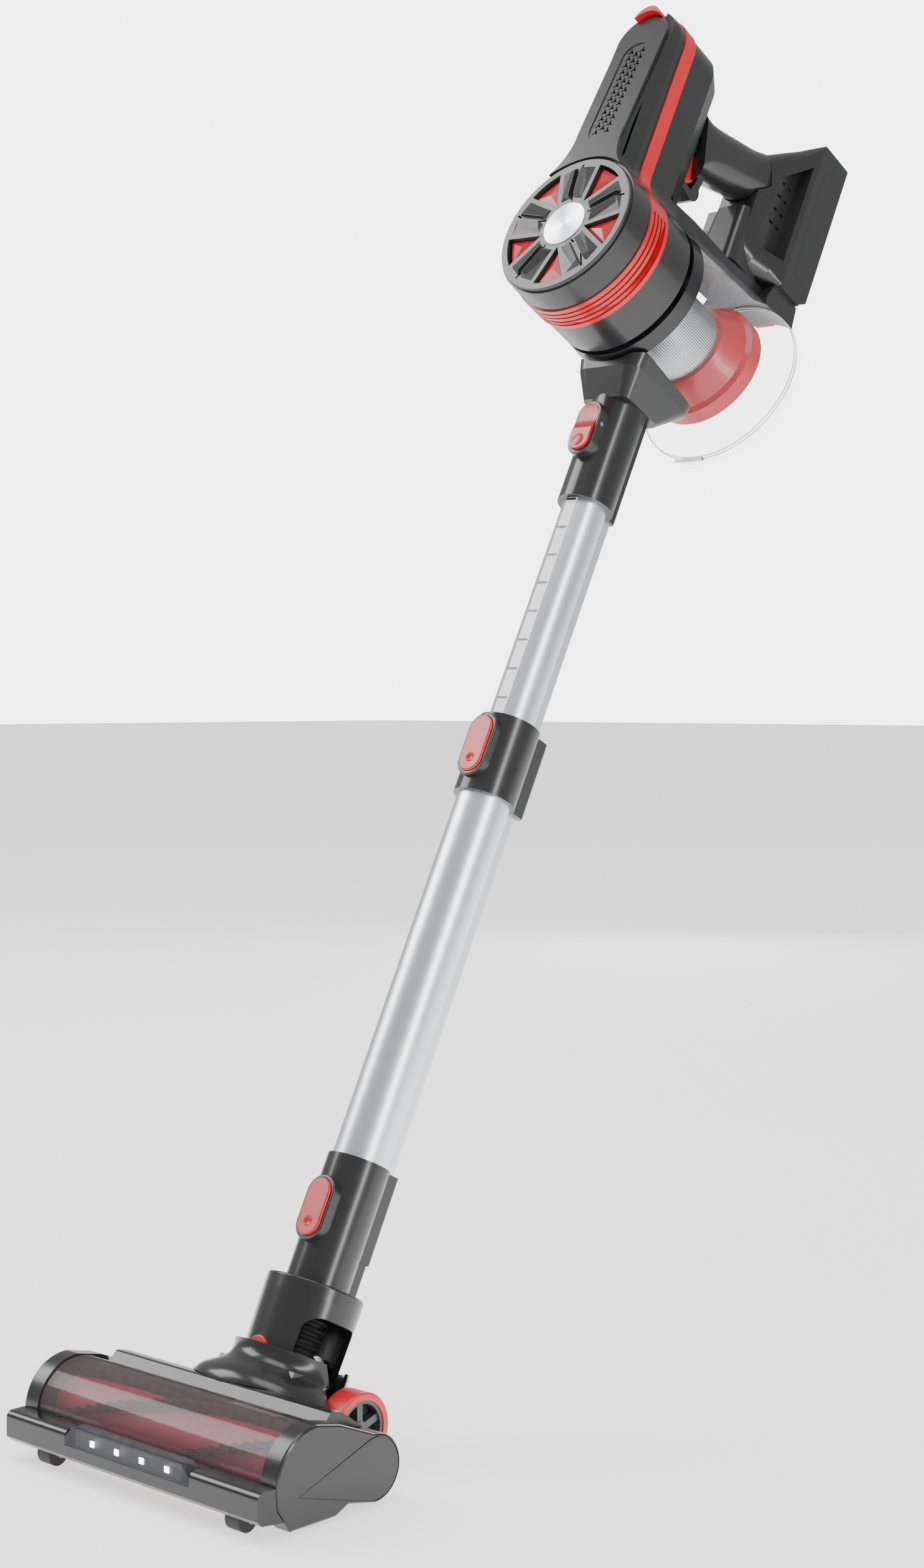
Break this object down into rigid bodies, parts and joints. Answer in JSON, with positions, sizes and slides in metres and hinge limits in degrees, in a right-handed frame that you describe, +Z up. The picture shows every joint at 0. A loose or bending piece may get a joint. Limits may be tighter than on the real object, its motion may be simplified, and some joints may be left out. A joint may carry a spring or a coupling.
{
  "type": "cordless stick vacuum cleaner",
  "caption": "Cordless stick vacuum with telescopic wand, swivelling brush head, clear dust cup, battery pack and trigger grip.",
  "frame": {"origin": "centre of the hand grip, where a hand holds the vacuum", "axes": "+X to the vacuum's side, +Y back towards the person, +Z up; the floor head stands level on the plane 0.839 m under the origin and the wand leans back from it"},
  "size_m": [0.223, 0.6722, 0.9356],
  "materials": {
    "satin_aluminium": "satin anodised tube",
    "scale_white": "white strip with dark ticks",
    "dark_gloss": "glossy dark grey moulding",
    "black_gloss": "glossy black moulding",
    "red_gloss": "glossy red moulding",
    "board_green": "lacquered circuit board",
    "grille_grey": "glossy dark grey grille",
    "cap_metal": "spun metal cap",
    "filter_cloth": "pleated filter cloth",
    "motor_steel": "pressed steel",
    "clear_cup": "clear smoky polycarbonate",
    "pin_steel": "ground steel",
    "mesh_silver": "fine silver screen",
    "fan_white": "moulded fan",
    "cell_wrap": "shrink wrapped cells",
    "spring_steel": "spring strip",
    "hose_rubber": "black corrugated hose",
    "window_smoke": "smoky clear window",
    "lens_clear": "clear lamp bar",
    "lamp_white": "white lamp",
    "bristle_dark": "dark bristles",
    "brush_red": "red roller",
    "tyre_red": "red soft tyre",
    "hub_dark": "dark spoked hub",
    "roller_black": "black support roller"
  },
  "bodies": {
    "hand_unit": {"inner_tube": "satin_aluminium", "scale_strip": "scale_white", "front_housing": "dark_gloss", "vent_panel": "black_gloss", "accent_band": "red_gloss", "rear_housing": "dark_gloss", "hand_grip": "dark_gloss", "cup_spine": "dark_gloss", "battery_dock": "dark_gloss", "control_board": "board_green", "front_grille": "grille_grey", "grille_inserts": "red_gloss", "centre_cap": "cap_metal", "air_filters": "filter_cloth", "suction_motor": "motor_steel", "dust_cup": "clear_cup", "pivot_pins": "pin_steel", "mesh_screen": "mesh_silver", "cyclone_core": "red_gloss", "cup_deck": "black_gloss", "wand_socket": "dark_gloss"},
    "fan": {"fan_rotor": "fan_white"},
    "power": {"power_button": "red_gloss"},
    "trigger_body": {"trigger": "red_gloss"},
    "battery": {"battery_pack": "dark_gloss", "battery_cells": "cell_wrap"},
    "battery_release": {"battery_button": "dark_gloss"},
    "lid": {"cup_lid": "clear_cup"},
    "lid_release": {"cup_latch": "red_gloss"},
    "wand_release": {"wand_latch": "red_gloss"},
    "lower_wand": {"outer_tube": "satin_aluminium", "clamp_collar": "dark_gloss", "leaf_springs": "spring_steel", "lower_cuff": "dark_gloss", "neck_tube": "dark_gloss", "collar_ring": "dark_gloss", "neck_yoke": "dark_gloss", "swivel_pins": "pin_steel", "swivel_cap": "red_gloss", "neck_hose": "hose_rubber"},
    "clamp_release": {"clamp_button": "red_gloss"},
    "head_release": {"release_button": "red_gloss"},
    "swivel": {"swivel_socket": "dark_gloss"},
    "head": {"head_base": "dark_gloss", "rear_cover": "dark_gloss", "brush_window": "window_smoke", "front_bumper": "black_gloss", "light_lens": "lens_clear", "lamp_board": "lamp_white", "end_caps": "dark_gloss", "head_fasteners": "pin_steel", "brush_motor": "motor_steel"},
    "brush": {"brush_roller": "brush_red", "brush_bristles": "bristle_dark"},
    "right_wheel": {"right_wheel_hub": "hub_dark", "right_wheel_tyre": "tyre_red"},
    "left_wheel": {"left_wheel_hub": "hub_dark", "left_wheel_tyre": "tyre_red"},
    "right_caster": {"right_roller": "roller_black"},
    "left_caster": {"left_roller": "roller_black"}
  },
  "joints": [
    {"name": "telescope", "type": "slide", "parent": "hand_unit", "child": "lower_wand", "axis": [0, 0.4617, 0.887], "range_m": [-0.03, 0.15]},
    {"name": "wand_swivel", "type": "hinge", "parent": "lower_wand", "child": "swivel", "pos_m": [0, -0.4337, -0.78549], "axis": [0, 0.887, -0.4617], "range_deg": [-25, 25], "deforming": ["neck_hose"]},
    {"name": "head_tilt", "type": "hinge", "parent": "swivel", "child": "head", "pos_m": [0, -0.42914, -0.81682], "axis": [1, 0, 0], "range_deg": [0, 50]},
    {"name": "brush_spin", "type": "hinge", "parent": "head", "child": "brush", "pos_m": [0, -0.51784, -0.81292], "axis": [1, 0, 0], "continuous": true},
    {"name": "right_wheel_spin", "type": "hinge", "parent": "head", "child": "right_wheel", "pos_m": [0.048, -0.42914, -0.81682], "axis": [1, 0, 0], "continuous": true},
    {"name": "left_wheel_spin", "type": "hinge", "parent": "head", "child": "left_wheel", "pos_m": [-0.048, -0.42914, -0.81682], "axis": [1, 0, 0], "continuous": true},
    {"name": "right_roller_spin", "type": "hinge", "parent": "head", "child": "right_caster", "pos_m": [0.0833, -0.54884, -0.83202], "axis": [1, 0, 0], "continuous": true},
    {"name": "left_roller_spin", "type": "hinge", "parent": "head", "child": "left_caster", "pos_m": [-0.0833, -0.54884, -0.83202], "axis": [1, 0, 0], "continuous": true},
    {"name": "fan_spin", "type": "hinge", "parent": "hand_unit", "child": "fan", "pos_m": [0, -0.12971, -0.09324], "axis": [0, 0.887, -0.4617], "continuous": true},
    {"name": "trigger_pull", "type": "slide", "parent": "hand_unit", "child": "trigger_body", "axis": [0, 0.153, 0.9882], "range_m": [0, 0.004], "stiffness_N_per_m": 400, "springref_m": -0.002},
    {"name": "power_press", "type": "slide", "parent": "hand_unit", "child": "power", "axis": [0, -0.4617, -0.887], "range_m": [0, 0.0012], "stiffness_N_per_m": 800, "springref_m": -0.001},
    {"name": "wand_latch_press", "type": "hinge", "parent": "hand_unit", "child": "wand_release", "pos_m": [0, -0.15287, -0.19945], "axis": [1, 0, 0], "range_deg": [0, 3], "stiffness_Nm_per_rad": 0.6, "springref_deg": -2.86},
    {"name": "clamp_press", "type": "slide", "parent": "lower_wand", "child": "clamp_release", "axis": [0, 0.887, -0.4617], "range_m": [0, 0.002], "stiffness_N_per_m": 800, "springref_m": -0.001},
    {"name": "head_release_press", "type": "slide", "parent": "lower_wand", "child": "head_release", "axis": [0, 0.887, -0.4617], "range_m": [0, 0.002], "stiffness_N_per_m": 800, "springref_m": -0.001, "deforming": ["leaf_springs"]},
    {"name": "lid_hinge", "type": "hinge", "parent": "hand_unit", "child": "lid", "pos_m": [0, -0.04202, -0.21499], "axis": [-1, 0, 0], "range_deg": [0, 85]},
    {"name": "lid_latch_press", "type": "slide", "parent": "hand_unit", "child": "lid_release", "axis": [0, -0.887, 0.4617], "range_m": [0, 0.002], "stiffness_N_per_m": 400, "springref_m": -0.001},
    {"name": "battery_slide", "type": "slide", "parent": "hand_unit", "child": "battery", "axis": [0, 0.887, -0.4617], "range_m": [0, 0.04]},
    {"name": "battery_release_press", "type": "slide", "parent": "hand_unit", "child": "battery_release", "axis": [1, 0, 0], "range_m": [0, 0.002], "stiffness_N_per_m": 400, "springref_m": -0.001}
  ]
}
